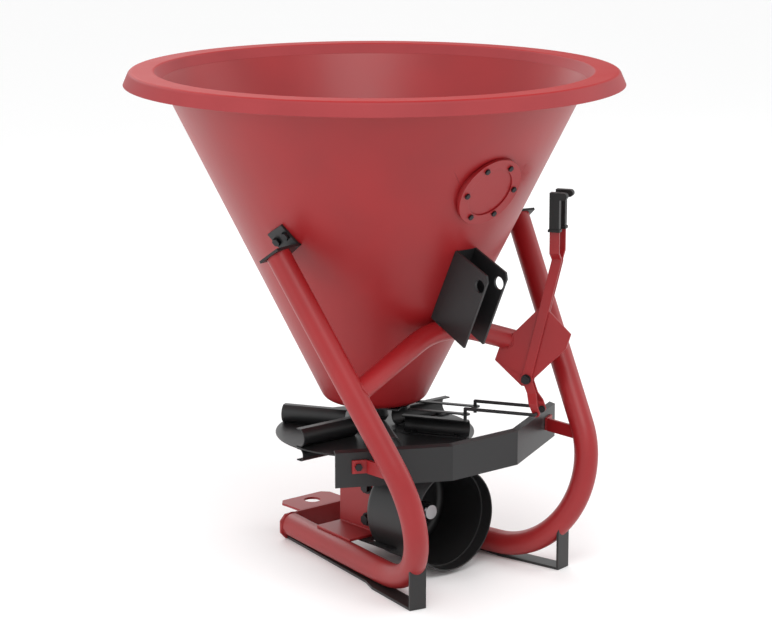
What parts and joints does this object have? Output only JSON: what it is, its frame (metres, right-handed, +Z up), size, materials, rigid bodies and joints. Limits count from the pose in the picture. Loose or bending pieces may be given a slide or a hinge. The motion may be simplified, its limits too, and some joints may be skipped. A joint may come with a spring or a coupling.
{
  "type": "broadcast spreader",
  "caption": "Tractor-mounted cone-hopper broadcast spreader on a bent-tube frame, with a shaft-driven vaned disc under the hopper and hand levers that open its shutters.",
  "frame": {"origin": "on the ground under the hopper's axis", "axes": "+Z up, -Y towards the tractor (the machine's front), +X towards the side with the control levers"},
  "size_m": [0.9999, 1, 0.995],
  "materials": {
    "red_paint": "semi-gloss powder coat",
    "black_paint": "satin powder coat",
    "cast_black": "painted casting",
    "dark_zinc": "black zinc",
    "bright_steel": "machined",
    "gear_steel": "cut and oiled",
    "black_plastic": "moulded, satin",
    "grip_plastic": "moulded, matt"
  },
  "bodies": {
    "frame": {"hopper_shell": "red_paint", "hopper_rim": "red_paint", "floor_bush": "black_paint", "cover_plate": "red_paint", "cover_ring": "red_paint", "cover_bolts": "dark_zinc", "hopper_bracket_left": "black_paint", "hopper_bracket_right": "black_paint", "hopper_bolts": "dark_zinc", "side_tube_left": "red_paint", "side_tube_right": "red_paint", "arch_tube": "red_paint", "link_bracket": "black_paint", "skid_left": "black_paint", "skid_right": "black_paint", "base_plate": "red_paint", "gearbox_plate_left": "red_paint", "gearbox_plate_right": "red_paint", "rear_web": "red_paint", "rear_lug_upper": "red_paint", "rear_lug_lower": "red_paint", "gearbox_housing": "cast_black", "gearbox_top_cap": "cast_black", "gearbox_front_cap": "cast_black", "gearbox_bolts": "dark_zinc", "shaft_bearings": "bright_steel", "shaft_guard": "black_plastic", "guard_ring": "black_paint", "guard_screws": "dark_zinc", "shield": "black_paint", "shield_arm_left": "red_paint", "shield_arm_right": "red_paint", "shield_bolts": "dark_zinc", "quadrant_plate": "red_paint", "pivot_bolt": "dark_zinc", "shutter_guides": "black_paint", "guard_tray": "black_paint"},
    "spinner": {"spinner_disc": "black_paint", "vanes_upper": "black_paint", "vanes_lower": "black_paint", "vane_bolts": "dark_zinc", "spinner_hub": "black_paint", "hub_nut": "black_paint", "output_shaft": "bright_steel", "output_gear": "gear_steel", "agitator": "bright_steel", "hub_pin": "bright_steel"},
    "input": {"input_shaft": "bright_steel", "input_gear": "gear_steel"},
    "lever_a": {"lever_a": "red_paint", "grip_a": "grip_plastic"},
    "lever_b": {"lever_b": "red_paint", "grip_b": "grip_plastic"},
    "rod_a": {"rod_a": "black_paint"},
    "rod_b": {"rod_b": "black_paint"},
    "shutter_a": {"shutter_a": "black_paint"},
    "shutter_b": {"shutter_b": "black_paint"}
  },
  "joints": [
    {"name": "spinner_spin", "type": "hinge", "parent": "frame", "child": "spinner", "pos_m": [0, 0, 0.248], "axis": [0, 0, 1], "continuous": true},
    {"name": "input_spin", "type": "hinge", "parent": "frame", "child": "input", "pos_m": [0, -0.1, 0.114], "axis": [0, 1, 0], "continuous": true},
    {"name": "lever_a_turn", "type": "hinge", "parent": "frame", "child": "lever_a", "pos_m": [0.16181, -0.28139, 0.386], "axis": [0.8669, 0.4985, 0], "range_deg": [0, 30]},
    {"name": "rod_a_pin", "type": "hinge", "parent": "lever_a", "child": "rod_a", "pos_m": [0.17475, -0.30389, 0.32045], "axis": [0.8669, 0.4985, 0], "range_deg": [-30, 0]},
    {"name": "shutter_a_slide", "type": "slide", "parent": "frame", "child": "shutter_a", "axis": [-0.4985, 0.8669, 0], "range_m": [0, 0.0362]},
    {"name": "lever_b_turn", "type": "hinge", "parent": "frame", "child": "lever_b", "pos_m": [0.16181, -0.28139, 0.386], "axis": [0.8669, 0.4985, 0], "range_deg": [0, 30]},
    {"name": "rod_b_pin", "type": "hinge", "parent": "lever_b", "child": "rod_b", "pos_m": [0.17475, -0.30389, 0.32045], "axis": [0.8669, 0.4985, 0], "range_deg": [-30, 0]},
    {"name": "shutter_b_slide", "type": "slide", "parent": "frame", "child": "shutter_b", "axis": [-0.4985, 0.8669, 0], "range_m": [0, 0.0362]}
  ],
  "couplings": [
    {"joint": "input_spin", "follows": "spinner_spin", "ratio": 1},
    {"joint": "rod_a_pin", "follows": "lever_a_turn", "ratio": -1},
    {"joint": "shutter_a_slide", "follows": "lever_a_turn", "m_per_rad": 0.0691},
    {"joint": "rod_b_pin", "follows": "lever_b_turn", "ratio": -1},
    {"joint": "shutter_b_slide", "follows": "lever_b_turn", "m_per_rad": 0.0691}
  ]
}
